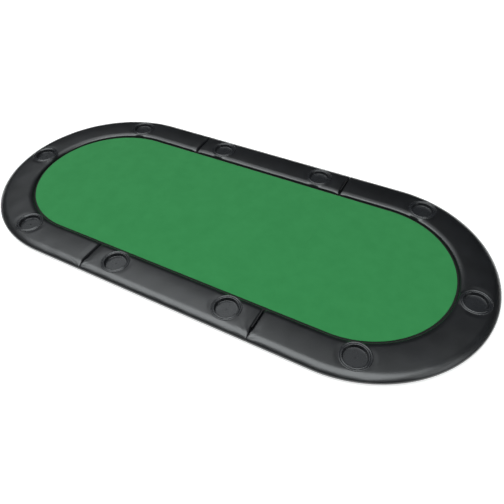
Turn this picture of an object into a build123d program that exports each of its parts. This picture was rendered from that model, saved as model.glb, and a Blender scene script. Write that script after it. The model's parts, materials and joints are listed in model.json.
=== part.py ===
import os
from math import cos, radians, sin, sqrt

from build123d import *

os.makedirs("parts", exist_ok=True)

# Folding poker table top: an oval board in three sections under a padded rail.
# The left section folds under the centre one and the right section folds over it.
# X runs along the table, Y across it, and Z = 0 is the surface that the feet stand on.

# Plan of the table top, in mm
table_width = 914.0
table_length = 2018.0
rail_width = 135.0
centre_length = 677.0
board_gap = 1.0
felt_gap = 0.6

# Layers of one section, from the board up
board_thickness = 12.0
underlay_thickness = 2.0
felt_thickness = 1.0
felt_edge_gap = 0.3
rail_above_felt = 12.0

# Section of the padded rail
inner_roll = 9.0
crown_radius = 700.0
shoulder_roll = 40.0
edge_roll = 11.0
end_round = 6.0
cover_thickness = 1.0
core_thickness = 8.0
core_inner_foam = 2.0
core_outer_foam = 16.0
edge_padding = 12.0
hem_width = 18.0

# Cup holders
cup_inset = 76.0
cup_spacing = 456.0
cup_end_angle = 73.4
cup_opening = 79.0
cup_wall = 1.2
cup_floor = 1.2
cup_draft = 1.6
cup_corner = 4.0
cup_lift = 0.4
cup_hole_gap = 0.5
flange_diameter = 104.0
flange_thickness = 1.0
flange_bed = 0.6
flange_gap = 0.5
bead_width = 3.4
bead_rise = 0.8
dot_diameter = 3.6
dot_rise = 0.5

# Hinges, the same for both folds
knuckle_diameter = 5.0
pin_diameter = 2.5
pin_play = 0.05
leaf_width = 76.0
leaf_thickness = 1.2
leaf_reach = 25.0
leaf_half_gap = 0.3
knuckle_count = 5
knuckle_gap = 0.4
floor_gap = 0.2
fold_gap = 0.6
under_hinge_y = 230.0
over_hinge_inset = 54.0
mortise_gap = 0.2

# Screws
hinge_screw_head = 4.6
hinge_screw_shank = 2.6
hinge_screw_length = 10.0
hinge_screw_margin = 9.0
hinge_screw_edge = 4.5
hinge_screw_row = 12.0
wood_screw_shank = 4.0
rail_screw_head = 8.0
rail_screw_length = 18.0
rail_screw_spacing = 230.0
rail_screw_angle = 36.0
screw_tip = 2.0
pilot_gap = 0.1

# Feet
foot_diameter = 26.0
foot_taper = 1.5
foot_screw_head = 7.0
foot_screw_length = 12.0
foot_sink = 2.5
foot_inset = 120.0
foot_before_fold = 112.0
foot_past_fold = 60.0
foot_angle = 38.0

overrun = 5.0

# Heights that follow from the sizes above
knuckle_radius = knuckle_diameter / 2
under_axis_z = knuckle_radius + floor_gap
foot_height = 2 * under_axis_z + fold_gap
board_bottom = foot_height
board_top = board_bottom + board_thickness
felt_bottom = board_top + underlay_thickness
felt_top = felt_bottom + felt_thickness
crown_top = felt_top + rail_above_felt
core_top = board_top + core_thickness
hem_bottom = board_bottom - cover_thickness
flange_bottom = crown_top - flange_bed
flange_top = flange_bottom + flange_thickness
cup_top = flange_top + bead_rise
over_axis_z = (crown_top + cup_top + fold_gap) / 2

# Places in plan that follow
end_radius = table_width / 2
end_x = table_length / 2 - end_radius
fold_x = centre_length / 2
felt_radius = end_radius - rail_width
board_radius = end_radius - cover_thickness - edge_padding
foot_radius = end_radius - foot_inset
rail_end = leaf_half_gap + leaf_thickness
cup_radius = end_radius - cup_inset
leaf_offset = foot_height - under_axis_z - leaf_thickness


def save(part, name):
    part.label = name
    export_step(part, f"parts/{name}.step")


# Outline of the rail's section: inner roll, crown, shoulder and the edge that turns under the board,
# each tangent to the next. The first number runs outwards from the rail's inner face and the second
# one is the height.
crown_centre = Vector(rail_width / 2, crown_top - crown_radius)
edge_centre = Vector(rail_width - edge_roll, hem_bottom + edge_roll)
inner_reach = crown_radius - inner_roll
inner_rise = sqrt(inner_reach**2 - (crown_centre.X - inner_roll) ** 2)
inner_centre = Vector(inner_roll, crown_centre.Y + inner_rise)


def crossing(first, first_reach, second, second_reach):
    # Where two circles cross, on the left of the line from the first centre to the second.
    apart = second - first
    along = (first_reach**2 - second_reach**2 + apart.length**2) / (2 * apart.length)
    across = sqrt(first_reach**2 - along**2)
    ahead = apart.normalized()
    return first + ahead * along + Vector(-ahead.Y, ahead.X) * across


shoulder_centre = crossing(
    crown_centre, crown_radius - shoulder_roll, edge_centre, shoulder_roll - edge_roll
)


def rail_outline(inset, floor):
    inner_out = (inner_centre - crown_centre).normalized()
    shoulder_out = (shoulder_centre - crown_centre).normalized()
    edge_out = (edge_centre - shoulder_centre).normalized()
    crown = crown_radius - inset
    shoulder = shoulder_roll - inset
    inner_face = Vector(inset, inner_centre.Y)
    inner_meet = crown_centre + inner_out * crown
    inner_mid = inner_centre + (Vector(-1, 0) + inner_out).normalized() * (inner_roll - inset)
    shoulder_meet = crown_centre + shoulder_out * crown
    shoulder_mid = shoulder_centre + (shoulder_out + edge_out).normalized() * shoulder
    edge_meet = shoulder_centre + edge_out * shoulder
    edge_foot = Vector(edge_centre.X, floor)
    foot_in = Vector(inset, floor)
    Line(foot_in, inner_face)
    ThreePointArc(inner_face, inner_mid, inner_meet)
    ThreePointArc(inner_meet, crown_centre + Vector(0, crown), shoulder_meet)
    ThreePointArc(shoulder_meet, shoulder_mid, edge_meet)
    ThreePointArc(edge_meet, edge_centre + Vector(edge_roll - inset, 0), edge_foot)
    Line(edge_foot, foot_in)


def rail_path(end):
    # The inner face of the right rail, from one end at the fold to the other.
    Line((end, -felt_radius), (end_x, -felt_radius))
    CenterArc((end_x, 0), felt_radius, -90, 180)
    Line((end_x, felt_radius), (end, felt_radius))


def end_rail(inset, floor, rounding):
    # The padded shape round the right end, its ends rounded over.
    end = fold_x + rail_end + inset
    with BuildPart() as rail:
        with BuildLine() as path:
            rail_path(end)
        with BuildSketch(Plane((end, -felt_radius, 0), x_dir=(0, -1, 0), z_dir=(-1, 0, 0))):
            with BuildLine():
                rail_outline(inset, floor)
            make_face()
        sweep(path=path.wire())
        ends = rail.faces().filter_by(Axis.X)
        fillet(ends.edges().filter_by_position(Axis.Z, floor, crown_top, (False, True)), rounding)
    return rail.part


def centre_rail(inset, floor, rounding):
    # The same for the straight rail on the near side of the centre section.
    half = fold_x - rail_end - inset
    with BuildPart() as rail:
        with BuildSketch(Plane((-half, -felt_radius, 0), x_dir=(0, -1, 0), z_dir=(-1, 0, 0))):
            with BuildLine():
                rail_outline(inset, floor)
            make_face()
        extrude(amount=-2 * half)
        ends = rail.faces().filter_by(Axis.X)
        fillet(ends.edges().filter_by_position(Axis.Z, floor, crown_top, (False, True)), rounding)
    return rail.part


def slab(section, half_width, gap, low, thickness):
    # One section's share of the oval, as a flat layer.
    with BuildPart() as layer:
        with BuildSketch(Plane.XY.offset(low)):
            SlotCenterToCenter(2 * end_x, 2 * half_width)
            if section == "centre":
                Rectangle(centre_length - gap, table_width, mode=Mode.INTERSECT)
            else:
                side = -1 if section == "left" else 1
                end_length = table_length / 2 - fold_x
                with Locations((side * (fold_x + gap / 2 + end_length / 2), 0)):
                    Rectangle(end_length, table_width, mode=Mode.INTERSECT)
        extrude(amount=thickness)
    return layer.part


# Places of the cups, by rail
cup_sin = sin(radians(cup_end_angle))
cup_cos = cos(radians(cup_end_angle))
right_cups = {
    "right_near_cup": (end_x + cup_radius * cup_cos, -cup_radius * cup_sin),
    "right_tip_cup": (end_x + cup_radius, 0),
    "right_far_cup": (end_x + cup_radius * cup_cos, cup_radius * cup_sin),
}
near_cups = {
    "centre_near_left_cup": (-cup_spacing / 2, -cup_radius),
    "centre_near_right_cup": (cup_spacing / 2, -cup_radius),
}
cups = dict(right_cups)
cups.update(near_cups)
cups.update({name.replace("near", "far"): (x, -y) for name, (x, y) in near_cups.items()})
cups.update({name.replace("right", "left"): (-x, y) for name, (x, y) in right_cups.items()})

# Places of the screws that hold each rail down, driven up through the board
turn = radians(rail_screw_angle)
straight_x = (fold_x + end_x) / 2
right_rail_screws = [(straight_x, -cup_radius), (straight_x, cup_radius)]
right_rail_screws += [
    (end_x + cup_radius * cos(turn), side * cup_radius * sin(turn)) for side in (-1, 1)
]
centre_rail_screws = [
    (x, side * cup_radius) for x in (-rail_screw_spacing / 2, rail_screw_spacing / 2) for side in (-1, 1)
]
left_rail_screws = [(-x, y) for x, y in right_rail_screws]

# Places of the feet
swing = radians(foot_angle)
right_feet = [(fold_x + foot_past_fold, side * foot_radius) for side in (-1, 1)]
right_feet += [(end_x + foot_radius * cos(swing), side * foot_radius * sin(swing)) for side in (-1, 1)]
centre_foot_x = fold_x - foot_before_fold
centre_feet = [(x, side * foot_radius) for x in (-centre_foot_x, centre_foot_x) for side in (-1, 1)]
left_feet = [(-x, y) for x, y in right_feet]


def up_from(places, height):
    # Planes for screws driven upwards from under the board.
    return [Plane((x, y, height), x_dir=(1, 0, 0), z_dir=(0, 0, -1)) for x, y in places]


# Hinge planes: X' is the way the leaf reaches, Y' the way its plate lies off the pin, Z' the pin.
def under_hinge(side, y):
    return Plane((-fold_x, y, under_axis_z), x_dir=(side, 0, 0), z_dir=(0, -side, 0))


def over_hinge(side, y):
    return Plane((fold_x, y, over_axis_z), x_dir=(0, 0, -1), z_dir=(0, -side, 0))


over_hinge_y = felt_radius + over_hinge_inset
under_ys = {"near": -under_hinge_y, "far": under_hinge_y}
over_ys = {"near": -over_hinge_y, "far": over_hinge_y}
notch = knuckle_radius + knuckle_gap
knuckle_length = (leaf_width - (knuckle_count - 1) * knuckle_gap) / knuckle_count


def leaf_screws(place, offset):
    # Planes on the open face of a leaf, two by the far edge and one nearer the pin.
    out = leaf_reach - hinge_screw_edge
    along = leaf_width / 2 - hinge_screw_margin
    spots = [(out, -along), (hinge_screw_row, 0), (out, along)]
    return [
        Plane(place.from_local_coords((reach, offset, run)), x_dir=place.z_dir, z_dir=-place.y_dir)
        for reach, run in spots
    ]


def hinge_leaf(place, offset, knuckles):
    # A leaf with its own knuckles, bored for the pin and countersunk for its screws.
    with BuildPart() as leaf:
        with BuildSketch(place.offset(-leaf_width / 2)):
            with Locations(((notch + leaf_reach) / 2, offset + leaf_thickness / 2)):
                Rectangle(leaf_reach - notch, leaf_thickness)
        extrude(amount=leaf_width)
        for number in knuckles:
            middle = (number - (knuckle_count - 1) / 2) * (knuckle_length + knuckle_gap) * place.z_dir.Y
            with BuildSketch(place.offset(middle - knuckle_length / 2)):
                Circle(knuckle_radius)
                with Locations((0, offset + leaf_thickness)):
                    Rectangle(notch, leaf_thickness, align=(Align.MIN, Align.MAX))
                Rectangle(knuckle_radius, offset + leaf_thickness, align=Align.MIN)
            extrude(amount=knuckle_length)
        with BuildSketch(place.offset(-leaf_width / 2)):
            Circle(pin_diameter / 2 + pin_play)
        extrude(amount=leaf_width, mode=Mode.SUBTRACT)
        with Locations(*leaf_screws(place, offset)):
            CounterSinkHole(
                hinge_screw_shank / 2 + pilot_gap,
                hinge_screw_head / 2 + pilot_gap,
                depth=leaf_thickness + overrun,
                counter_sink_angle=90,
            )
    return leaf.part


def hinge_pin(place):
    with BuildPart() as pin:
        with BuildSketch(place.offset(-leaf_width / 2)):
            Circle(pin_diameter / 2)
        extrude(amount=leaf_width)
    return pin.part


def screws(places, head, shank, length):
    # A set of countersunk screws, each head flush with its plane.
    head_depth = (head - shank) / 2
    with BuildPart() as screw:
        with BuildSketch(Plane.XZ):
            with BuildLine():
                Polyline(
                    (0, 0),
                    (head / 2, 0),
                    (shank / 2, -head_depth),
                    (shank / 2, screw_tip - length),
                    (0, -length),
                    close=True,
                )
            make_face()
        revolve(axis=Axis.Z)
    with BuildPart() as group:
        with Locations(*places):
            add(screw.part)
    return group.part


def drill(places, shank, length):
    with Locations(*places):
        Hole(shank / 2 + pilot_gap, depth=length + pilot_gap)


def countersink(places, head, shank, length):
    drill(places, shank, length)
    with Locations(*places):
        CounterSinkHole(shank / 2 + pilot_gap, head / 2 + pilot_gap, depth=length, counter_sink_angle=90)


# Screws of the hinges, by the body that they go into
under_screws = {
    side: [spot for y in under_ys.values() for spot in leaf_screws(under_hinge(side, y), leaf_offset)]
    for side in (-1, 1)
}
over_screws = {
    side: [spot for y in over_ys.values() for spot in leaf_screws(over_hinge(side, y), leaf_half_gap)]
    for side in (-1, 1)
}


def cup_holes(names, low, high, radius):
    with BuildSketch(Plane.XY.offset(low)) as rounds:
        with Locations(*[cups[name] for name in names]):
            Circle(radius)
    extrude(rounds.sketch, amount=high - low, mode=Mode.SUBTRACT)


cup_hole = cup_opening / 2 + cup_wall + cup_hole_gap

# Boards, drilled for the rails, the feet and the hinges and mortised for the leaves over the fold
section_rail_screws = {"left": left_rail_screws, "centre": centre_rail_screws, "right": right_rail_screws}
section_feet = {"left": left_feet, "centre": centre_feet, "right": right_feet}
section_under = {"left": under_screws[-1], "centre": under_screws[1], "right": []}
section_over = {"left": [], "centre": over_screws[-1], "right": over_screws[1]}
mortise_z = over_axis_z - leaf_reach - mortise_gap
felt_half = felt_radius - felt_edge_gap
foot_seat = (Align.CENTER, Align.CENTER, Align.MIN)

for section in ("left", "centre", "right"):
    rail_spots = up_from(section_rail_screws[section], board_bottom)
    foot_spots = up_from(section_feet[section], foot_sink)
    with BuildPart() as board:
        add(slab(section, board_radius, board_gap, board_bottom, board_thickness))
        countersink(rail_spots, rail_screw_head, wood_screw_shank, rail_screw_length)
        drill(foot_spots, wood_screw_shank, foot_screw_length)
        if section_under[section]:
            drill(section_under[section], hinge_screw_shank, hinge_screw_length)
        if section_over[section]:
            with BuildSketch(Plane.XY.offset(mortise_z)):
                with Locations((fold_x, -over_hinge_y), (fold_x, over_hinge_y)):
                    Rectangle(2 * rail_end, leaf_width + 2 * mortise_gap)
            extrude(amount=board_top - mortise_z, mode=Mode.SUBTRACT)
            drill(section_over[section], hinge_screw_shank, hinge_screw_length)
    save(board.part, f"{section}_board")

    save(slab(section, felt_half, board_gap, board_top, underlay_thickness), f"{section}_underlay")
    save(slab(section, felt_half, felt_gap, felt_bottom, felt_thickness), f"{section}_felt")

    with BuildPart() as feet:
        with Locations(*section_feet[section]):
            Cone(foot_diameter / 2 - foot_taper, foot_diameter / 2, foot_height, align=foot_seat)
        with BuildSketch():
            with Locations(*section_feet[section]):
                Circle(foot_screw_head / 2 + pilot_gap)
        extrude(amount=foot_sink, mode=Mode.SUBTRACT)
        countersink(foot_spots, foot_screw_head, wood_screw_shank, foot_screw_length)
    save(feet.part, f"{section}_feet")

    rail_set = screws(rail_spots, rail_screw_head, wood_screw_shank, rail_screw_length)
    foot_set = screws(foot_spots, foot_screw_head, wood_screw_shank, foot_screw_length)
    save(rail_set, f"{section}_rail_screws")
    save(foot_set, f"{section}_foot_screws")


# Padded rails: a wooden core on the board, foam over it and round the board's edge, and vinyl over all
core_inner = felt_radius + end_round + core_inner_foam
core_outer = end_radius - core_outer_foam
core_end = rail_end + cover_thickness
end_core = end_x + core_outer - fold_x - core_end


def cut_oval(radius, low, high):
    with BuildSketch(Plane.XY.offset(low)) as oval:
        SlotCenterToCenter(2 * end_x, 2 * radius)
    extrude(oval.sketch, amount=high - low, mode=Mode.SUBTRACT)


def save_rail(name, skin, filling, side, cup_names, screw_places, leaf_places):
    # The side is (1, 0) for the right rail, (0, -1) for the near one, and so on.
    screw_spots = up_from(screw_places, board_bottom)
    core_middle = (side[0] * (fold_x + core_end + end_core / 2), side[1] * core_outer / 2)
    core_length = end_core if side[0] else 2 * (fold_x - core_end)
    core_width = 2 * core_outer if side[0] else core_outer
    with BuildPart() as core:
        with BuildSketch(Plane.XY.offset(board_top)):
            SlotCenterToCenter(2 * end_x, 2 * core_outer)
            SlotCenterToCenter(2 * end_x, 2 * core_inner, mode=Mode.SUBTRACT)
            with Locations(core_middle):
                Rectangle(core_length, core_width, mode=Mode.INTERSECT)
        extrude(amount=core_thickness)
        cup_holes(cup_names, board_top, core_top, cup_hole)
        drill(screw_spots, wood_screw_shank, rail_screw_length)
        if leaf_places:
            drill(leaf_places, hinge_screw_shank, hinge_screw_length)
    save(core.part, f"{name}_core")

    with BuildPart() as foam:
        add(filling)
        cut_oval(board_radius, board_bottom, board_top)
        with BuildSketch(Plane.XY.offset(board_top)):
            SlotCenterToCenter(2 * end_x, 2 * core_outer)
            SlotCenterToCenter(2 * end_x, 2 * core_inner, mode=Mode.SUBTRACT)
        extrude(amount=core_thickness, mode=Mode.SUBTRACT)
        cup_holes(cup_names, board_top, crown_top, cup_hole)
    save(foam.part, f"{name}_foam")

    with BuildPart() as cover:
        add(skin)
        add(filling, mode=Mode.SUBTRACT)
        cut_oval(board_radius, board_bottom, board_top)
        cut_oval(board_radius - hem_width, hem_bottom, board_bottom)
        cup_holes(cup_names, board_top, crown_top, cup_hole)
        cup_holes(cup_names, flange_bottom, cup_top, flange_diameter / 2 + flange_gap)
        if leaf_places:
            drill(leaf_places, hinge_screw_shank, hinge_screw_length)
    save(cover.part, f"{name}_cover")


def twin(part, plane):
    with BuildPart() as other:
        mirror(part, about=plane)
    return other.part


inner_round = end_round - cover_thickness
right_skin = end_rail(0, hem_bottom, end_round)
right_filling = end_rail(cover_thickness, board_bottom, inner_round)
near_skin = centre_rail(0, hem_bottom, end_round)
near_filling = centre_rail(cover_thickness, board_bottom, inner_round)

near_over = [spot for spot in over_screws[-1] if spot.origin.Y < 0]
far_over = [spot for spot in over_screws[-1] if spot.origin.Y > 0]
left_skin = twin(right_skin, Plane.YZ)
left_filling = twin(right_filling, Plane.YZ)
far_skin = twin(near_skin, Plane.XZ)
far_filling = twin(near_filling, Plane.XZ)
near_rail_screws = [place for place in centre_rail_screws if place[1] < 0]
far_rail_screws = [place for place in centre_rail_screws if place[1] > 0]


def cups_of(word):
    return [name for name in cups if name.startswith(word)]


save_rail(
    "right_rail", right_skin, right_filling, (1, 0), cups_of("right"), right_rail_screws, over_screws[1]
)
save_rail("left_rail", left_skin, left_filling, (-1, 0), cups_of("left"), left_rail_screws, [])
save_rail(
    "near_rail", near_skin, near_filling, (0, -1), cups_of("centre_near"), near_rail_screws, near_over
)
save_rail("far_rail", far_skin, far_filling, (0, 1), cups_of("centre_far"), far_rail_screws, far_over)


# Cup holders, dropped through the rail with the flange bedded in the padding
cup_low = board_top + cup_lift
floor_top = cup_low + cup_floor
lip = cup_opening / 2
outside = lip + cup_wall
base = outside - cup_draft
inside = lip - cup_draft
bend = cup_corner - cup_floor
quarter = sin(radians(45))
rim = flange_diameter / 2

with BuildPart() as cup:
    with BuildSketch(Plane.XZ):
        with BuildLine():
            Polyline((0, floor_top + dot_rise), (0, cup_low), (base - cup_corner, cup_low))
            ThreePointArc(
                (base - cup_corner, cup_low),
                (base - cup_corner * (1 - quarter), cup_low + cup_corner * (1 - quarter)),
                (base, cup_low + cup_corner),
            )
            Polyline(
                (base, cup_low + cup_corner),
                (outside, flange_bottom),
                (rim, flange_bottom),
                (rim, flange_top),
            )
            ThreePointArc(
                (rim, flange_top), (rim - bead_width / 2, cup_top), (rim - bead_width, flange_top)
            )
            Line((rim - bead_width, flange_top), (lip + bead_width, flange_top))
            ThreePointArc(
                (lip + bead_width, flange_top), (lip + bead_width / 2, cup_top), (lip, flange_top)
            )
            Line((lip, flange_top), (inside, floor_top + bend))
            ThreePointArc(
                (inside, floor_top + bend),
                (inside - bend * (1 - quarter), floor_top + bend * (1 - quarter)),
                (inside - bend, floor_top),
            )
            Polyline(
                (inside - bend, floor_top),
                (dot_diameter / 2, floor_top),
                (dot_diameter / 2, floor_top + dot_rise),
                (0, floor_top + dot_rise),
            )
        make_face()
    revolve(axis=Axis.Z)

for name, place in cups.items():
    with BuildPart() as placed:
        with Locations(place):
            add(cup.part)
    save(placed.part, name)


# Hinges: two under the left fold, and two over the right fold, one between each pair of rail ends
fixed_knuckles = range(0, knuckle_count, 2)
moving_knuckles = range(1, knuckle_count, 2)
for end in ("near", "far"):
    under_y = under_ys[end]
    over_y = over_ys[end]
    save(hinge_leaf(under_hinge(1, under_y), leaf_offset, fixed_knuckles), f"under_{end}_fixed_leaf")
    save(hinge_leaf(under_hinge(-1, under_y), leaf_offset, moving_knuckles), f"under_{end}_moving_leaf")
    save(hinge_pin(under_hinge(1, under_y)), f"under_{end}_hinge_pin")
    save(hinge_leaf(over_hinge(-1, over_y), leaf_half_gap, fixed_knuckles), f"over_{end}_fixed_leaf")
    save(hinge_leaf(over_hinge(1, over_y), leaf_half_gap, moving_knuckles), f"over_{end}_moving_leaf")
    save(hinge_pin(over_hinge(1, over_y)), f"over_{end}_hinge_pin")

hinge_screw = (hinge_screw_head, hinge_screw_shank, hinge_screw_length)
save(screws(under_screws[1], *hinge_screw), "under_fixed_screws")
save(screws(under_screws[-1], *hinge_screw), "under_moving_screws")
save(screws(over_screws[-1], *hinge_screw), "over_fixed_screws")
save(screws(over_screws[1], *hinge_screw), "over_moving_screws")
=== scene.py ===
import json

import bmesh
import bpy
import numpy as np
from mathutils import Matrix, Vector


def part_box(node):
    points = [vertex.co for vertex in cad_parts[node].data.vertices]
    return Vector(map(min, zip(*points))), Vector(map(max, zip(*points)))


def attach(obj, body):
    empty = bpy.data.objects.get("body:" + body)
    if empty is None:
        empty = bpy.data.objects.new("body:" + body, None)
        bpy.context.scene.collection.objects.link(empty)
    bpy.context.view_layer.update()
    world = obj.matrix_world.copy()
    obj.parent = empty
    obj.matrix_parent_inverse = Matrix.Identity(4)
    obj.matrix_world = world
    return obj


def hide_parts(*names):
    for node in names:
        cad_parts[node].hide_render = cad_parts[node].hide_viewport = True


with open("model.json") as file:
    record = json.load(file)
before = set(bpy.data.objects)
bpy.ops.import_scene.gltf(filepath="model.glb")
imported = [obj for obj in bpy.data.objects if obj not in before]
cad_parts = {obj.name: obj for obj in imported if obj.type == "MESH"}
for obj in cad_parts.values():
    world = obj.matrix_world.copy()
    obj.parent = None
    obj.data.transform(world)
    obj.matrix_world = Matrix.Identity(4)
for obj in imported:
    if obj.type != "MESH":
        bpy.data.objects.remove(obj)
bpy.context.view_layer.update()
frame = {"nodes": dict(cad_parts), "record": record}
print("frame loaded")

mm = 0.001
sections = ("left", "centre", "right")
bodyOf = {"left": "left_section", "centre": "centre_section", "right": "right_section",
          "near": "centre_section", "far": "centre_section"}


# Colours and nodes
def hexColour(text):
    srgb = np.array([int(text[i:i + 2], 16) for i in (1, 3, 5)]) / 255
    linear = np.where(srgb <= 0.04045, srgb / 12.92, ((srgb + 0.055) / 1.055) ** 2.4)
    return (*linear.tolist(), 1.0)


def addNode(tree, kind, inputs=None, **settings):
    # Adds a node with its settings and inputs. An input is a plain value, a socket, or a node, whose first
    # output is then meant. Map Range has a value as input 0, the range that it comes from as 1 and 2, and
    # the range that it goes to as 3 and 4. Mix has a share as input 0 and two colours as 6 and 7.
    node = tree.nodes.new("ShaderNode" + kind)
    for key, value in settings.items():
        setattr(node, key, value)
    for key, value in (inputs or {}).items():
        if isinstance(value, bpy.types.Node):
            value = value.outputs[0]
        if isinstance(value, bpy.types.NodeSocket):
            tree.links.new(value, node.inputs[key])
        else:
            node.inputs[key].default_value = value
    return node


def newMaterial(name):
    material = bpy.data.materials.new(name)
    material.use_nodes = True
    tree = material.node_tree
    tree.nodes.clear()
    return material, tree, addNode(tree, "TexCoord").outputs["Object"]


# Upholstery vinyl: PVC skin on a knit, embossed with a fine leather grain, a thin satin lacquer on top
vinyl = {"colour": "#111214", "worn": "#17181b", "grain": 1.3 * mm, "crease": 9 * mm, "mottle": 70 * mm,
         "depth": 0.10 * mm, "roughness": 0.31, "dry": 0.37, "lacquer": 0.8}


def makeVinyl():
    material, tree, place = newMaterial("upholstery_vinyl")
    grain = addNode(tree, "TexVoronoi", {"Vector": place, "Scale": 1 / vinyl["grain"], "Randomness": 0.9},
                    feature="SMOOTH_F1")
    crease = addNode(tree, "TexNoise", {"Vector": place, "Scale": 1 / vinyl["crease"], "Detail": 3.0})
    mottle = addNode(tree, "TexNoise", {"Vector": place, "Scale": 1 / vinyl["mottle"], "Detail": 2.0})
    height = addNode(tree, "Math", {0: grain, 1: crease}, operation="ADD")
    bump = addNode(tree, "Bump", {"Height": height, "Strength": 0.45, "Distance": vinyl["depth"]})
    wear = addNode(tree, "MapRange", {0: mottle, 1: 0.35, 2: 0.7})
    colour = addNode(tree, "Mix", {0: wear, 6: hexColour(vinyl["colour"]), 7: hexColour(vinyl["worn"])},
                     data_type="RGBA")
    rough = addNode(tree, "MapRange", {0: crease, 1: 0.3, 2: 0.7, 3: vinyl["roughness"], 4: vinyl["dry"]})
    shader = addNode(tree, "BsdfPrincipled", {"Base Color": colour.outputs[2], "Roughness": rough,
                                              "IOR": 1.54, "Coat Weight": vinyl["lacquer"],
                                              "Coat Roughness": 0.3, "Normal": bump, "Coat Normal": bump})
    addNode(tree, "OutputMaterial", {"Surface": shader})
    return material


# Gaming felt: short-napped wool and viscose, matt, with a faint mottle from the pressing. A real fibre is
# far finer than the one here, which is as coarse as it needs to be to show.
felt = {"colour": "#308046", "pale": "#35864b", "fibre": 1.1 * mm, "mottle": 45 * mm, "depth": 0.25 * mm}


def makeFelt():
    material, tree, place = newMaterial("gaming_felt")
    fibre = addNode(tree, "TexNoise", {"Vector": place, "Scale": 1 / felt["fibre"], "Detail": 4.0,
                                       "Roughness": 0.7, "Distortion": 0.6})
    mottle = addNode(tree, "TexNoise", {"Vector": place, "Scale": 1 / felt["mottle"], "Detail": 3.0})
    both = addNode(tree, "Math", {0: fibre, 1: mottle}, operation="ADD")
    share = addNode(tree, "MapRange", {0: both, 1: 0.75, 2: 1.25})
    colour = addNode(tree, "Mix", {0: share, 6: hexColour(felt["colour"]), 7: hexColour(felt["pale"])},
                     data_type="RGBA")
    bump = addNode(tree, "Bump", {"Height": fibre, "Strength": 0.35, "Distance": felt["depth"]})
    shader = addNode(tree, "BsdfPrincipled", {"Base Color": colour.outputs[2], "Roughness": 0.95, "IOR": 1.45,
                                              "Specular IOR Level": 0.2, "Sheen Weight": 0.12,
                                              "Sheen Roughness": 0.5, "Normal": bump})
    addNode(tree, "OutputMaterial", {"Surface": shader})
    return material


# Moulded ABS, black, with a spark-eroded texture that breaks up the shine, drawn coarser than the real
# grit of about 0.1 mm so that it shows
cupPlastic = {"colour": "#212224", "pale": "#28292c", "grit": 0.8 * mm, "flow": 25 * mm, "depth": 0.03 * mm,
              "roughness": 0.22, "duller": 0.1, "skin": 0.35}


def makeAbs():
    material, tree, place = newMaterial("moulded_abs")
    grit = addNode(tree, "TexNoise", {"Vector": place, "Scale": 1 / cupPlastic["grit"], "Detail": 2.0})
    flow = addNode(tree, "TexNoise", {"Vector": place, "Scale": 1 / cupPlastic["flow"], "Detail": 2.0})
    bump = addNode(tree, "Bump", {"Height": grit, "Strength": 0.3, "Distance": cupPlastic["depth"]})
    dull = cupPlastic["roughness"] + cupPlastic["duller"]
    rough = addNode(tree, "MapRange", {0: flow, 1: 0.3, 2: 0.7, 3: cupPlastic["roughness"], 4: dull})
    share = addNode(tree, "MapRange", {0: grit, 1: 0.3, 2: 0.7})
    colour = addNode(tree, "Mix", {0: share, 6: hexColour(cupPlastic["colour"]),
                                   7: hexColour(cupPlastic["pale"])}, data_type="RGBA")
    shader = addNode(tree, "BsdfPrincipled", {"Base Color": colour.outputs[2], "Roughness": rough,
                                              "IOR": 1.53, "Coat Weight": cupPlastic["skin"],
                                              "Coat Roughness": 0.22, "Normal": bump, "Coat Normal": bump})
    addNode(tree, "OutputMaterial", {"Surface": shader})
    return material


# Medium-density fibreboard: a matt black paper face above and below, and an edge sealed in dark paint.
# The battens in the rails are the same board without paper or paint. Its fibres are drawn coarser than
# they are.
board = {"chip": 1.6 * mm, "cloud": 60 * mm, "depth": 0.08 * mm, "roughness": 0.55, "dry": 0.7}


def makeBoard(name, face, fleck, edge, edgeFleck, gloss=0.5):
    material, tree, place = newMaterial(name)
    chips = addNode(tree, "TexNoise", {"Vector": place, "Scale": 1 / board["chip"], "Detail": 5.0,
                                       "Roughness": 0.65})
    cloud = addNode(tree, "TexNoise", {"Vector": place, "Scale": 1 / board["cloud"], "Detail": 2.0})
    share = addNode(tree, "MapRange", {0: chips, 1: 0.4, 2: 0.68})
    paper = addNode(tree, "Mix", {0: share, 6: hexColour(face), 7: hexColour(fleck)}, data_type="RGBA")
    sealed = addNode(tree, "Mix", {0: share, 6: hexColour(edge), 7: hexColour(edgeFleck)}, data_type="RGBA")
    facing = addNode(tree, "SeparateXYZ", {0: addNode(tree, "TexCoord").outputs["Normal"]})
    level = addNode(tree, "Math", {0: facing.outputs[2]}, operation="ABSOLUTE")
    onFace = addNode(tree, "MapRange", {0: level, 1: 0.4, 2: 0.6})
    colour = addNode(tree, "Mix", {0: onFace, 6: sealed.outputs[2], 7: paper.outputs[2]}, data_type="RGBA")
    bump = addNode(tree, "Bump", {"Height": chips, "Strength": 0.25, "Distance": board["depth"]})
    rough = addNode(tree, "MapRange", {0: cloud, 1: 0.3, 2: 0.7, 3: board["roughness"], 4: board["dry"]})
    shader = addNode(tree, "BsdfPrincipled", {"Base Color": colour.outputs[2], "Roughness": rough,
                                              "IOR": 1.45, "Specular IOR Level": gloss, "Normal": bump})
    addNode(tree, "OutputMaterial", {"Surface": shader})
    return material


# Steel with faint lines from its rolling: bright where it is zinc-plated, dull under a matt black coat,
# and dark but metallic where an oxide bath has blackened it
steel = {"depth": 0.03 * mm, "duller": 0.15}


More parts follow.
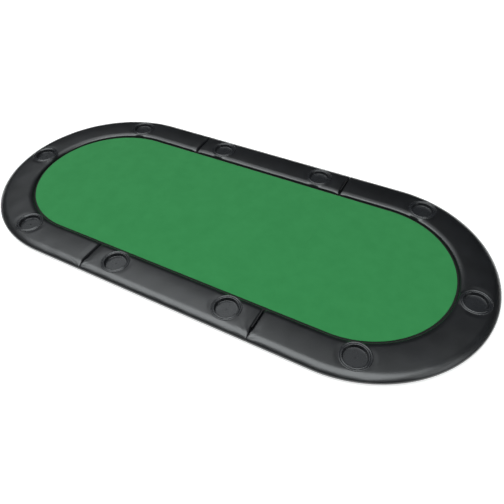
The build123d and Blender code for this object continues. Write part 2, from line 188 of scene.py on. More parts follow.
def makeSteel(name, dark, pale, metal, roughness, grain):
    material, tree, place = newMaterial(name)
    lines = addNode(tree, "TexNoise", {"Vector": place, "Scale": 1 / grain, "Detail": 3.0})
    dull = roughness + steel["duller"]
    rough = addNode(tree, "MapRange", {0: lines, 1: 0.3, 2: 0.7, 3: roughness, 4: dull})
    bump = addNode(tree, "Bump", {"Height": lines, "Strength": 0.15, "Distance": steel["depth"]})
    share = addNode(tree, "MapRange", {0: lines, 1: 0.35, 2: 0.65})
    colour = addNode(tree, "Mix", {0: share, 6: hexColour(dark), 7: hexColour(pale)}, data_type="RGBA")
    shader = addNode(tree, "BsdfPrincipled", {"Base Color": colour.outputs[2], "Metallic": metal,
                                              "Roughness": rough, "Normal": bump})
    addNode(tree, "OutputMaterial", {"Surface": shader})
    return material


# Open-cell polyurethane foam, cut with a hot wire, so its pores show
cutFoam = {"colour": "#a8a08a", "pale": "#d8d2c0", "pore": 1.5 * mm, "depth": 0.3 * mm}


def makeFoam():
    material, tree, place = newMaterial("cut_foam")
    pores = addNode(tree, "TexVoronoi", {"Vector": place, "Scale": 1 / cutFoam["pore"]})
    share = addNode(tree, "MapRange", {0: pores, 1: 0.0, 2: 0.6})
    colour = addNode(tree, "Mix", {0: share, 6: hexColour(cutFoam["colour"]), 7: hexColour(cutFoam["pale"])},
                     data_type="RGBA")
    bump = addNode(tree, "Bump", {"Height": pores, "Strength": 0.5, "Distance": cutFoam["depth"]})
    shader = addNode(tree, "BsdfPrincipled", {"Base Color": colour.outputs[2], "Roughness": 0.95,
                                              "Normal": bump})
    addNode(tree, "OutputMaterial", {"Surface": shader})
    return material


# Moulded natural rubber: matt, a little bloomed, and greyer where it has rubbed
rubber = {"colour": "#18181a", "pale": "#28282a", "bloom": 0.9 * mm, "depth": 0.08 * mm}


def makeRubber():
    material, tree, place = newMaterial("moulded_rubber")
    bloom = addNode(tree, "TexNoise", {"Vector": place, "Scale": 1 / rubber["bloom"], "Detail": 3.0})
    colour = addNode(tree, "Mix", {0: bloom, 6: hexColour(rubber["colour"]), 7: hexColour(rubber["pale"])},
                     data_type="RGBA")
    bump = addNode(tree, "Bump", {"Height": bloom, "Strength": 0.3, "Distance": rubber["depth"]})
    shader = addNode(tree, "BsdfPrincipled", {"Base Color": colour.outputs[2], "Roughness": 0.72, "IOR": 1.52,
                                              "Normal": bump})
    addNode(tree, "OutputMaterial", {"Surface": shader})
    return material


materials = {
    "vinyl": makeVinyl(),
    "felt": makeFelt(),
    "cup_plastic": makeAbs(),
    "fibreboard": makeBoard("paper_faced_fibreboard", "#181817", "#232221", "#1d1814", "#2b241e", 0.3),
    "raw_fibreboard": makeBoard("raw_fibreboard", "#8a6a45", "#b08f63", "#7d5f3d", "#a58459"),
    "rail_foam": makeFoam(),
    "foot_rubber": makeRubber(),
    "screw_steel": makeSteel("zinc_plated_steel", "#b9bcc2", "#d4d6d8", 1.0, 0.28, 1.5 * mm),
    "hinge_steel": makeSteel("black_coated_steel", "#0d0d0e", "#141416", 0.0, 0.55, 1.2 * mm),
    "pin_steel": makeSteel("black_oxide_steel", "#2a2a2c", "#38383a", 1.0, 0.45, 0.8 * mm),
}
materials["underlay_foam"] = materials["rail_foam"]
print("materials made")


# Meshes
mergeDistance = 0.001 * mm
drumSides = 72


def newPiece(name, points, faces, material, body):
    mesh = bpy.data.meshes.new(name)
    mesh.from_pydata(points.tolist(), [], faces)
    mesh.polygons.foreach_set("use_smooth", np.full(len(mesh.polygons), True))
    mesh.materials.append(material)
    mesh.update()
    piece = bpy.data.objects.new(name, mesh)
    bpy.context.scene.collection.objects.link(piece)
    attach(piece, body)
    return piece


def gridFaces(rows, columns, closeColumns=False):
    # Quads between neighbours of a rows x columns grid, whose last column may join its first
    row = np.arange(rows - 1)
    column = np.arange(columns if closeColumns else columns - 1)
    r, c = np.meshgrid(row, column, indexing="ij")
    nextC = (c + 1) % columns
    return np.stack([r * columns + c, (r + 1) * columns + c, (r + 1) * columns + nextC, r * columns + nextC],
                    axis=-1).reshape(-1, 4)


def tubeFaces(rows, columns):
    # A closed tube's sides, and a face across each end
    last = (rows - 1) * columns
    return [*gridFaces(rows, columns, closeColumns=True).tolist(),
            list(range(columns)), list(range(last, last + columns))[::-1]]


def tidyMesh(piece, outward=True):
    # Merges poles and doubles, drops what has no area, and turns a closed shell's faces outwards
    shell = bmesh.new()
    shell.from_mesh(piece.data)
    bmesh.ops.remove_doubles(shell, verts=shell.verts, dist=mergeDistance)
    bmesh.ops.dissolve_degenerate(shell, edges=shell.edges, dist=mergeDistance)
    if outward:
        bmesh.ops.recalc_face_normals(shell, faces=shell.faces)
    shell.to_mesh(piece.data)
    shell.free()


def applyModifiers(piece):
    graph = bpy.context.evaluated_depsgraph_get()
    done = bpy.data.meshes.new_from_object(piece.evaluated_get(graph))
    old = piece.data
    piece.modifiers.clear()
    piece.data = done
    bpy.data.meshes.remove(old)


def drillHoles(piece, centres, radius, low, high):
    # Cuts round holes by a boolean with upright drums
    angle = np.linspace(0, 2 * np.pi, drumSides, endpoint=False)
    ring = np.stack([np.cos(angle), np.sin(angle)], axis=1) * radius
    for centre in centres:
        xy = ring + np.array(centre)
        points = np.concatenate([np.column_stack(np.broadcast_arrays(*xy.T, z)) for z in (low, high)])
        mesh = bpy.data.meshes.new("drum")
        mesh.from_pydata(points.tolist(), [], tubeFaces(2, drumSides))
        drum = bpy.data.objects.new("drum", mesh)
        bpy.context.scene.collection.objects.link(drum)
        tidyMesh(drum)
        cut = piece.modifiers.new("hole", "BOOLEAN")
        cut.object = drum
        cut.operation = "DIFFERENCE"
        cut.solver = "EXACT"
        applyModifiers(piece)
        bpy.data.objects.remove(drum)
        bpy.data.meshes.remove(mesh)


def smoothStep(value, low, high):
    # 0 up to low and 1 from high on, with a smooth rise between them
    t = np.clip((value - low) / (high - low), 0, 1)
    return t * t * (3 - 2 * t)


def arcPoints(centre, radius, start, end, count):
    # Points of an arc, evenly spaced from its start angle to its end angle
    angle = np.linspace(start, end, count)
    return np.column_stack([centre[0] + radius * np.cos(angle), centre[1] + radius * np.sin(angle)])


# The rail's section inside the part's own: an inner roll, an inner shoulder, a crown, an outer shoulder
# and an edge that turns in under the board, each tangent to the next. The pull of the vinyl makes the
# shoulders fuller than the plain padding's. s runs outwards from the rail's inner face, z is the height.
nearLow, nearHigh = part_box("near_rail_cover")
rightLow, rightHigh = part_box("right_rail_cover")
boardLow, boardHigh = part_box("centre_board")
coreLow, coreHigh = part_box("near_rail_core")
endRadius = rightHigh[1]
endX = rightHigh[0] - endRadius
innerRadius = -nearHigh[1]
railWidth = endRadius - innerRadius
railEndX = rightLow[0]
foldX = (railEndX + nearHigh[0]) / 2
crownTop = nearHigh[2]
hemBottom = nearLow[2]
boardTop = boardHigh[2]
boardBottom = boardLow[2]
boardEdge = boardHigh[1] - innerRadius

rail = {"setBack": 1.5 * mm, "innerRoll": 10 * mm, "innerShoulder": 42 * mm, "innerStart": 22 * mm,
        "crownRadius": 700 * mm, "shoulderRoll": 46 * mm, "edgeRoll": 9 * mm, "skin": 1.0 * mm,
        "foot": 0.5 * mm, "hem": 18 * mm, "step": 4 * mm, "endRound": 8 * mm, "edgePull": 0.12,
        "edgeEase": 16 * mm}
# How many points each arc of the section and the hem have, and how many rows a rail's rounded end has
arcCounts = {"innerRoll": 19, "innerShoulder": 11, "crown": 27, "shoulder": 14, "edge": 18}
hemPoints = 8
roundRows = 8
endClose = (1.0, 0.7, 0.35)      # how far each row of a rail's flat end face is closed, from its middle

crownCentre = np.array([railWidth / 2, crownTop - rail["crownRadius"]])
edgeCentre = np.array([railWidth - rail["edgeRoll"], hemBottom + rail["edgeRoll"]])
lean = (crownCentre[0] - rail["innerStart"]) / rail["crownRadius"]
innerShoulderCentre = crownCentre + (rail["crownRadius"] - rail["innerShoulder"]) * np.array(
    [-lean, np.sqrt(1 - lean ** 2)])
innerFoot = rail["setBack"] + rail["innerRoll"]
innerRise = np.sqrt((rail["innerShoulder"] - rail["innerRoll"]) ** 2
                    - (innerShoulderCentre[0] - innerFoot) ** 2)
innerCentre = np.array([innerFoot, innerShoulderCentre[1] + innerRise])


def crossing(first, firstReach, second, secondReach):
    # Where two circles cross, on the left of the line from the first centre to the second
    apart = second - first
    length = np.hypot(*apart)
    along = (firstReach ** 2 - secondReach ** 2 + length ** 2) / (2 * length)
    across = np.sqrt(firstReach ** 2 - along ** 2)
    ahead = apart / length
    return first + ahead * along + np.array([-ahead[1], ahead[0]]) * across


shoulderCentre = crossing(crownCentre, rail["crownRadius"] - rail["shoulderRoll"],
                          edgeCentre, rail["shoulderRoll"] - rail["edgeRoll"])
rollAngle = np.arctan2(*(innerCentre - innerShoulderCentre)[::-1])
innerAngle = np.arctan2(*(innerShoulderCentre - crownCentre)[::-1])
shoulderAngle = np.arctan2(*(shoulderCentre - crownCentre)[::-1])
edgeAngle = np.arctan2(*(edgeCentre - shoulderCentre)[::-1])


def coverContour(inset):
    # The section moved inwards by the inset, from the foot of the inner wall over the top and round the
    # edge to the end of the hem. It comes with how much each point follows the rounding of the rail's
    # ends: wholly on top, less round the edge, not at all on the hem.
    low = np.arccos(np.clip((boardTop + rail["foot"] - innerCentre[1]) / rail["innerRoll"], -1, 1))
    top = np.concatenate([arc[1:] for arc in (
        arcPoints(innerCentre, rail["innerRoll"] - inset, np.pi / 2 + low, rollAngle, arcCounts["innerRoll"]),
        arcPoints(innerShoulderCentre, rail["innerShoulder"] - inset, rollAngle, innerAngle,
                  arcCounts["innerShoulder"]),
        arcPoints(crownCentre, rail["crownRadius"] - inset, innerAngle, shoulderAngle, arcCounts["crown"]),
        arcPoints(shoulderCentre, rail["shoulderRoll"] - inset, shoulderAngle, edgeAngle,
                  arcCounts["shoulder"]))])
    edge = arcPoints(edgeCentre, rail["edgeRoll"] - inset, edgeAngle, -np.pi / 2, arcCounts["edge"])[1:]
    angle = np.linspace(edgeAngle, -np.pi / 2, arcCounts["edge"])[1:]
    hem = np.linspace(edgeCentre[0], boardEdge - rail["hem"], hemPoints + 1)[1:]
    under = np.column_stack([hem, np.full(hemPoints, hemBottom + inset)])
    follow = np.concatenate([
        1 - (1 - rail["edgePull"]) * smoothStep(top[:, 0], edgeCentre[0] - rail["edgeEase"], railWidth),
        rail["edgePull"] * smoothStep(angle, -np.pi / 2, edgeAngle),
        np.zeros(hemPoints)])
    return np.concatenate([top, edge, under]), follow


def railRows(which, inset=0.0):
    # One row per section along the rail: where it stands (base), which way is outwards (out), how far it
    # is drawn in by the rounding of the rail's end (pull), how far the flat end face is closed towards
    # the board (close), its distance from the rail's end (fromEnd) and its place along the rail (along)
    radius = rail["endRound"] - inset
    turn = np.linspace(0, np.pi / 2, roundRows)
    ahead = radius * (1 - np.sin(turn))       # distance short of the end plane
    drawn = radius * (1 - np.cos(turn))
    endRows = len(endClose)
    if which in ("near", "far"):
        half = nearHigh[0] - inset
        body = np.linspace(-half + radius, half - radius, int(2 * half / rail["step"]))[1:-1]
        x = np.concatenate([np.full(endRows, -half), ahead[::-1] - half, body,
                            half - ahead, np.full(endRows, half)])
        side = -1.0 if which == "near" else 1.0
        base = np.column_stack([x, np.full(len(x), side * innerRadius)])
        out = np.column_stack([np.zeros(len(x)), np.full(len(x), side)])
        fromEnd = half - np.abs(x)
        along = x
    else:
        start = railEndX + inset
        straight = np.linspace(start + radius, endX, int((endX - start) / rail["step"]))[1:-1]
        lead = np.concatenate([np.full(endRows, start), start + ahead[::-1], straight])
        angle = np.linspace(-np.pi / 2, np.pi / 2, int(np.pi * endRadius / rail["step"]))
        zero, one = np.zeros(len(lead)), np.ones(len(lead))
        x = np.concatenate([lead, endX + innerRadius * np.cos(angle), lead[::-1]])
        y = np.concatenate([-innerRadius * one, innerRadius * np.sin(angle), innerRadius * one])
        mirror = -1 if which == "left" else 1
        base = np.column_stack([mirror * x, y])
        out = np.column_stack([mirror * np.concatenate([zero, np.cos(angle), zero]),
                               np.concatenate([-one, np.sin(angle), one])])
        fromEnd = np.concatenate([lead - start, np.full(len(angle), endX - start), lead[::-1] - start])
        along = np.concatenate([lead - endX, angle * innerRadius + 0.5 * np.pi * innerRadius,
                                endX - lead[::-1] + np.pi * innerRadius])
    pull, close = np.zeros(len(base)), np.zeros(len(base))
    rounded = endRows + roundRows
    pull[endRows:rounded], pull[-rounded:-endRows] = drawn[::-1], drawn
    pull[:endRows] = pull[-endRows:] = drawn[-1]
    close[:endRows], close[-endRows:] = endClose, endClose[::-1]
    return {"base": base, "out": out, "pull": pull, "close": close, "fromEnd": fromEnd, "along": along}


railCups = {
    "near": ("centre_near_left_cup", "centre_near_right_cup"),
    "far": ("centre_far_left_cup", "centre_far_right_cup"),
    "left": ("left_near_cup", "left_tip_cup", "left_far_cup"),
    "right": ("right_near_cup", "right_tip_cup", "right_far_cup"),
}


def cupCentre(node):
    low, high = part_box(node)
    return (low[0] + high[0]) / 2, (low[1] + high[1]) / 2


cup = {"opening": 39.5 * mm, "wall": 1.2 * mm, "draft": 1.6 * mm, "corner": 4 * mm, "floor": 2.0 * mm,
       "flange": 1.0 * mm, "chamfer": 0.5 * mm, "beadWidth": 5.6 * mm, "bead": 1.3 * mm, "dip": 0.15 * mm,
       "dot": 3.2 * mm, "dotDeep": 1.6 * mm, "dotTaper": 0.2 * mm, "soft": 0.35 * mm, "rim": 0.42 * mm,
       "sides": 128, "sharpOver": 40, "hole": 41.4 * mm, "holeOver": 10 * mm, "holeUnder": 1 * mm}
cupLow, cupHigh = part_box("right_tip_cup")
flangeRadius = (cupHigh[0] - cupLow[0]) / 2
flangeTop = cupHigh[2] - cup["bead"]
flangeBottom = flangeTop - cup["flange"]

# The padding's seat under a flange: how far round it the cover is pressed down, how far it is drawn up,
# and the heights over the board between which it begins to be drawn up
seat = {"under": 0.1 * mm, "pressFrom": 0.8 * mm, "pressTo": 16 * mm, "liftFrom": -3 * mm, "liftTo": 6 * mm,
        "low": 2 * mm, "high": 9 * mm}


def seatHeight(x, y, z, which, lower):
    # The padding is pressed down under each flange and eases back to the crown beside it. Where the
    # shoulders fall away under the rim, the padding is drawn up to it instead.
    height = flangeBottom - seat["under"] - lower
    for node in railCups[which]:
        centreX, centreY = cupCentre(node)
        past = np.hypot(x - centreX, y - centreY) - flangeRadius
        z = z - (1 - smoothStep(past, seat["pressFrom"], seat["pressTo"])) * np.maximum(0, z - height)
        lift = 1 - smoothStep(past, seat["liftFrom"], seat["liftTo"])
        raised = smoothStep(z, boardTop + seat["low"], boardTop + seat["high"])
        z = z + lift * np.maximum(0, height - z) * raised
    return z


# What the padding and the pull of the cover add to its taut shape: each one's depth, and the lengths
# over which it comes and goes, from the rail's end or outwards from its inner wall
swell = {"depth": 0.5 * mm, "calm": 12 * mm}
sag = {"depth": 2.2 * mm, "reach": 30 * mm, "fadeFrom": 84 * mm, "fadeTo": 116 * mm}
pucker = {"depth": 1.4 * mm, "reach": 26 * mm, "clearFrom": 2 * mm, "clearTo": 16 * mm, "outward": 4 * mm,
          "behind": 2 * mm, "calm": 5 * mm, "perRadian": 15, "perMetre": 25, "sharp": 1.5,
          "phases": (0.7, 2.9)}
gather = {"depth": 0.2 * mm, "every": 13 * mm, "group": 87 * mm, "groupShare": 0.4, "fadeFrom": 4 * mm,
          "fadeTo": 16 * mm, "calm": 12 * mm}
pleat = {"depth": 0.7 * mm, "every": 19 * mm, "sharp": 6, "fade": 60 * mm, "overHem": 0.1 * mm}
meet = {"reach": 1.25 * mm, "from": 88 * mm, "to": 112 * mm, "fade": 24 * mm}
crest = {"low": 2 * mm, "high": 10 * mm}     # heights over the board between which these begin
# Each wave's radians per metre along x and along y, and its phase
swellWaves = ((31.0, 12.0, 0.4), (-17.0, 27.0, 1.9), (58.0, -39.0, 4.1), (9.0, 71.0, 2.6), (83.0, 23.0, 5.2))


def swellOf(x, y):
    # Broad waves of the padding under the tight cover: a mean of a few fixed sines, in -1 to 1
    return sum(np.sin(kx * x + ky * y + phase) for kx, ky, phase in swellWaves) / len(swellWaves)


def moveOf(x, y, z, s, fromEnd, along, pleated):
    # How far each point moves out along the surface's normal: the padding's swell, less the sag of the
    # rail's end and the puckers that fan out from the seam's outer corner, more the gathers on the
    # inside of the curve and the pleats of the hem under it
    top = smoothStep(z, boardTop + crest["low"], boardTop + crest["high"])
    move = swell["depth"] * swellOf(x, y) * top * smoothStep(fromEnd, 0, swell["calm"])
    move = move - (sag["depth"] * top * (1 - smoothStep(fromEnd, 0, sag["reach"]))
                   * (1 - smoothStep(s, sag["fadeFrom"], sag["fadeTo"])))
    inFromCorner = edgeCentre[0] + pucker["outward"] - s
    reach = np.hypot(fromEnd, inFromCorner)
    turn = np.arctan2(inFromCorner, fromEnd + pucker["behind"])
    fan = np.exp(-reach / pucker["reach"]) * smoothStep(reach, pucker["clearFrom"], pucker["clearTo"])
    phase = np.where(along > 0, *pucker["phases"])
    ripple = np.sin(pucker["perRadian"] * turn + pucker["perMetre"] * reach + phase)
    move = move - (pucker["depth"] * fan * top * np.maximum(0, ripple) ** pucker["sharp"]
                   * smoothStep(fromEnd, 0, pucker["calm"]))
    share = gather["groupShare"]
    group = (1 - share) + share * np.sin(2 * np.pi * along / gather["group"])
    wave = np.sin(2 * np.pi * along / gather["every"]) * group
    inner = (1 - smoothStep(s, gather["fadeFrom"], gather["fadeTo"])) * smoothStep(fromEnd, 0, gather["calm"])
    move = move + gather["depth"] * wave * inner * top
    if pleated:
        curveEnd = np.pi * innerRadius
        curved = (smoothStep(along, 0, pleat["fade"])
                  * (1 - smoothStep(along, curveEnd - pleat["fade"], curveEnd)))
        fold = np.maximum(0, np.sin(2 * np.pi * along / pleat["every"])) ** pleat["sharp"]
        hem = smoothStep(boardEdge - s, 0, rail["hem"]) * (z < hemBottom + pleat["overHem"])
        move = move + pleat["depth"] * fold * hem * curved
    return move


def coverPoints(which, inset=0.0):
    # Each row's section carried along the rail, drawn in along its own normal where the end is rounded,
    # its end face closed towards the board's top and edge. Then every point moves along the surface's
    # normal, and the shoulders of two rails lean together at the fold.
    rows = railRows(which, inset)
    base, out, close = rows["base"], rows["out"], rows["close"][:, None]
    contour, follow = coverContour(inset)
    step = np.gradient(contour, axis=0)
    inward = np.column_stack([step[:, 1], -step[:, 0]]) / np.linalg.norm(step, axis=1)[:, None]
    drawn = contour + inward * (rows["pull"][:, None] * follow)[..., None]
    s, z = drawn[..., 0], drawn[..., 1]
    s = s - close * np.maximum(0, s - boardEdge)
    z = z - close * np.maximum(0, z - boardTop)
    x = base[:, :1] + out[:, :1] * s
    y = base[:, 1:] + out[:, 1:] * s
    grid = np.stack([x, y, z], axis=-1)
    normal = np.cross(np.gradient(grid, axis=0), np.gradient(grid, axis=1))
    normal /= np.maximum(np.linalg.norm(normal, axis=-1, keepdims=True), 1e-12)
    if normal[len(base) // 2, len(contour) // 2, 2] < 0:
        normal = -normal
    fromEnd, along = rows["fromEnd"][:, None], rows["along"][:, None]
    straight = which in ("near", "far")
    move = moveOf(x, y, z, s, fromEnd, along, pleated=not straight and not inset)
    grid = grid + normal * move[..., None]
    # Under the pull of the cover the outer shoulders of two rails nearly meet at the fold
    leaning = smoothStep(s, meet["from"], meet["to"]) * (1 - smoothStep(fromEnd, 0, meet["fade"]))
    grid[..., 0] += np.sign(x) * (meet["reach"] if straight else -meet["reach"]) * leaning
    grid[..., 2] = seatHeight(grid[..., 0], grid[..., 1], grid[..., 2], which, inset)
    return grid


cover = {"sharpOver": 50, "fill": 0.9}


def makeCover(which):
    grid = coverPoints(which)
    rows, columns = grid.shape[:2]
    faces = gridFaces(rows, columns)
    row, column = rows // 2, columns // 2
    here = grid[row, column]
    if np.cross(grid[row + 1, column] - here, grid[row, column + 1] - here)[2] < 0:
        faces = faces[:, ::-1]
    piece = newPiece(f"{which}_rail_vinyl", grid.reshape(-1, 3), faces.tolist(), materials["vinyl"],
                     bodyOf[which])
    tidyMesh(piece, outward=False)
    thick = piece.modifiers.new("skin", "SOLIDIFY")
    thick.thickness = rail["skin"]
    thick.offset = -1.0
    applyModifiers(piece)
    drillHoles(piece, [cupCentre(node) for node in railCups[which]], cup["hole"], boardTop,
               crownTop + cup["holeOver"])
    piece.data.polygons.foreach_set("use_smooth", np.full(len(piece.data.polygons), True))
    piece.data.set_sharp_from_angle(angle=np.radians(cover["sharpOver"]))
    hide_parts(f"{which}_rail_cover")


foam = {"gap": 1.15 * mm, "clear": 0.15 * mm, "endRows": 7, "pastCore": 1 * mm, "left": 0.05}
core = {"fromEnd": 10 * mm, "innerChamfer": (7 * mm, 6 * mm), "outerChamfer": (9 * mm, 4.5 * mm),
        "sharpOver": 30}
holeFoot = boardTop - cup["holeUnder"]


def coreOutline(clear=0.0):
    # The core's section, its two upper edges chamfered under the shoulders, from its outer foot to its
    # inner one, widened all round by the clearance
    inner = -coreHigh[1] - innerRadius - clear
    outer = -coreLow[1] - innerRadius + clear
    top, low = coreHigh[2] + clear, boardTop + clear
    innerWide, innerDeep = core["innerChamfer"]
    outerWide, outerDeep = core["outerChamfer"]
    return np.array([[outer, low], [outer, top - outerDeep], [outer - outerWide, top],
                     [inner + innerWide, top], [inner, top - innerDeep], [inner, low]])


def carried(base, out, section):
    # A section carried along the rail's rows, as a grid of points
    return np.stack([base[:, :1] + out[:, :1] * section[:, 0], base[:, 1:] + out[:, 1:] * section[:, 0],
                     np.broadcast_to(section[:, 1], (len(base), len(section)))], axis=-1)


def closedBar(name, grid, material, body):
    # A bar of closed sections, with a face across each end
    piece = newPiece(name, grid.reshape(-1, 3), tubeFaces(*grid.shape[:2]), material, body)
    tidyMesh(piece)
    return piece


def makeCore(which):
    rows = railRows(which)
    keep = rows["fromEnd"] >= core["fromEnd"]
    piece = closedBar(f"{which}_rail_batten", carried(rows["base"][keep], rows["out"][keep], coreOutline()),
                      materials["raw_fibreboard"], bodyOf[which])
    drillHoles(piece, [cupCentre(node) for node in railCups[which]], cup["hole"], holeFoot, crownTop)
    piece.data.set_sharp_from_angle(angle=np.radians(core["sharpOver"]))
    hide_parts(f"{which}_rail_core")


def makeFoamPad(which):
    # The cover's own surface drawn in by the skin, closed underneath round the board's edge and the core
    short = slice(foam["endRows"], -foam["endRows"])
    over = coverPoints(which, foam["gap"])[short, :-hemPoints]
    rows = railRows(which, foam["gap"])
    clear = foam["clear"]
    edge = np.array([[boardEdge, boardBottom], [boardEdge, boardTop]]) + clear
    under = carried(rows["base"][short], rows["out"][short], np.concatenate([edge, coreOutline(clear)]))
    # Past the core's ends the foam fills its place
    past = (rows["fromEnd"][short] < core["fromEnd"] - foam["pastCore"])[:, None]
    coreHeight = under[:, len(edge):, 2]
    filled = boardTop + clear + (coreHeight - boardTop - clear) * foam["left"]
    under[:, len(edge):, 2] = np.where(past, filled, coreHeight)
    piece = closedBar(f"{which}_rail_padding", np.concatenate([over, under], axis=1), materials["rail_foam"],
                      bodyOf[which])
    drillHoles(piece, [cupCentre(node) for node in railCups[which]], cup["hole"], holeFoot,
               crownTop + cup["holeOver"])
    piece.data.set_sharp_from_angle(angle=np.radians(cover["sharpOver"]))
    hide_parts(f"{which}_rail_foam")


# Staples of the hem: a flat wire of few sides, bent down at both ends, set every so far along the rail
staple = {"half": 5 * mm, "wire": 0.42 * mm, "flat": 1.4, "leg": 3 * mm, "foot": 0.1 * mm,
          "crown": -0.25 * mm, "bend": 0.8, "sides": 6, "every": 32 * mm, "first": 14 * mm, "last": 13 * mm,
          "inFromEdge": 8 * mm, "lean": np.array([[1], [0.7], [-0.7], [-1]])}


def makeStaples(which):
    # One staple's wire is a round carried along a bent route, leaning at the bends so that the wire keeps
    # its thickness. Each spot on the rail gets a copy, its legs up into the board.
    half, wire, leg, sides = staple["half"], staple["wire"], staple["leg"], staple["sides"]
    route = np.array([[-half, leg], [-half, staple["foot"]], [-staple["bend"] * half, staple["crown"]],
                      [staple["bend"] * half, staple["crown"]], [half, staple["foot"]], [half, leg]])
    angle = np.linspace(0, 2 * np.pi, sides, endpoint=False)
    run = route[:, :1] + np.zeros(sides)
    run[[0, 1, 4, 5]] += wire * np.sin(angle) * staple["lean"]
    side = np.zeros((len(route), 1)) + staple["flat"] * wire * np.cos(angle)
    height = route[:, 1:] + wire * np.sin(angle)
    rows = railRows(which)
    along = rows["along"]
    spots = np.arange(along.min() + staple["first"], along.max() - staple["last"], staple["every"])
    baseX, baseY, outX, outY = (np.interp(spots, along, values)
                                for values in (*rows["base"].T, *rows["out"].T))
    outward = np.stack([outX, outY], axis=1)
    centre = np.stack([baseX, baseY], axis=1) + outward * (boardEdge - staple["inFromEdge"])
    tangent = np.stack([-outY, outX], axis=1)
    flat = (centre[:, None, None] + tangent[:, None, None] * run[..., None]
            + outward[:, None, None] * side[..., None])
    upright = np.broadcast_to(hemBottom + height[..., None], (*flat.shape[:3], 1))
    points = np.concatenate([flat, upright], axis=-1)
    count = len(route) * sides
    oneStaple = tubeFaces(len(route), sides)
    faces = [[corner + count * number for corner in face]
             for number in range(len(spots)) for face in oneStaple]
    piece = newPiece(f"{which}_hem_staples", points.reshape(-1, 3), faces, materials["screw_steel"],
                     bodyOf[which])
    tidyMesh(piece)


for which in railCups:
    makeCover(which)
    makeFoamPad(which)
    makeCore(which)
    makeStaples(which)
print("rails padded")


# Felt and underlay. The felt stops a groove short of the rails, where the photo shows a narrow dark line
# with the board's black face at its bottom, and the underlay stops a little before it.
# The groove is partly painted shade: its black bottom is the board's own face, but it is opened here to draw
# the dark line along the rails' foot that the shade under a taller rail wall would give.
sheet = {"roll": 0.1 * mm, "rings": 4, "seam": 0.03 * mm, "groove": 5.5 * mm, "overhang": 3 * mm,
         "sharpOver": 12}
outlineCounts = {"length": 170, "width": 164, "round": 260, "lead": 54}


def sectionOutline(which, low, high, inset):
    # A rectangle for the centre, and a rectangle with a half round end for the others, drawn in by the inset
    halfWidth = high[1] - inset
    width = np.linspace(-halfWidth, halfWidth, outlineCounts["width"])
    if which == "centre":
        length = np.linspace(low[0] + inset, high[0] - inset, outlineCounts["length"])
        sides = ((length[:-1], -halfWidth), (length[-1], width[:-1]),
                 (length[:0:-1], halfWidth), (length[0], width[:0:-1]))
        return np.concatenate([np.column_stack(np.broadcast_arrays(*side)) for side in sides])
    mirror = -1 if which == "left" else 1
    start = min(abs(low[0]), abs(high[0])) + inset
    lead = np.linspace(start, endX, outlineCounts["lead"])[:-1]
    roundEnd = arcPoints((endX, 0), halfWidth, -np.pi / 2, np.pi / 2, outlineCounts["round"])
    sides = ((lead, -halfWidth), roundEnd.T, (lead[::-1], halfWidth), (start, width[-2:0:-1]))
    return np.concatenate([np.column_stack(np.broadcast_arrays(*side)) for side in sides]) * (mirror, 1)


def layerBox(which, kind):
    # The layer's lowest and highest corners. At a fold the felt goes on until it nearly meets the next
    # one, so that the nap closes the seam.
    (lowX, lowY, lowZ), (highX, highY, highZ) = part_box(f"{which}_{kind}")
    short = sheet["groove"] if kind == "felt" else sheet["groove"] + sheet["overhang"]
    if kind == "felt":
        lowX = {"left": lowX, "centre": sheet["seam"] - foldX, "right": foldX + sheet["seam"]}[which]
        highX = {"left": -foldX - sheet["seam"], "centre": foldX - sheet["seam"], "right": highX}[which]
    return (lowX, lowY + short, lowZ), (highX, highY - short, highZ)


def makeLayer(which, kind, low, high, material, name):
    # Rings of the outline: up the cut edge, over its small roll, and one flat face above and below
    roll = sheet["roll"]
    turn = np.linspace(0, np.pi / 2, sheet["rings"])[1:]
    insets = [roll, 0.0, *(roll * (1 - np.cos(turn)))]
    heights = [low[2], low[2] + roll, *(high[2] - roll + roll * np.sin(turn))]
    outlines = [sectionOutline(which, low, high, inset) for inset in insets]
    points = np.stack([np.column_stack(np.broadcast_arrays(*plan.T, height))
                       for plan, height in zip(outlines, heights)])
    piece = newPiece(name, points.reshape(-1, 3), tubeFaces(*points.shape[:2]), material, bodyOf[which])
    tidyMesh(piece)
    piece.data.set_sharp_from_angle(angle=np.radians(sheet["sharpOver"]))
    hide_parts(f"{which}_{kind}")
    return piece


for which in sections:
    low, high = layerBox(which, "felt")
    cloth = makeLayer(which, "felt", low, high, materials["felt"], f"{which}_playing_felt")
    length, width = high[0] - low[0], high[1] - low[1]
    if which != "centre":
        length -= sheet["groove"]
    low, high = layerBox(which, "underlay")
    pad = makeLayer(which, "underlay", low, high, materials["underlay_foam"],
                    f"{which}_felt_underlay")
print("felt laid")


# Cups, each a profile of radius and height turned about its axis, with every edge slightly rounded
def straightPoints(start, end, shares):
    # Points on the line from the start to the end, each at its share of the way
    return np.outer(1 - shares, start) + np.outer(shares, end)


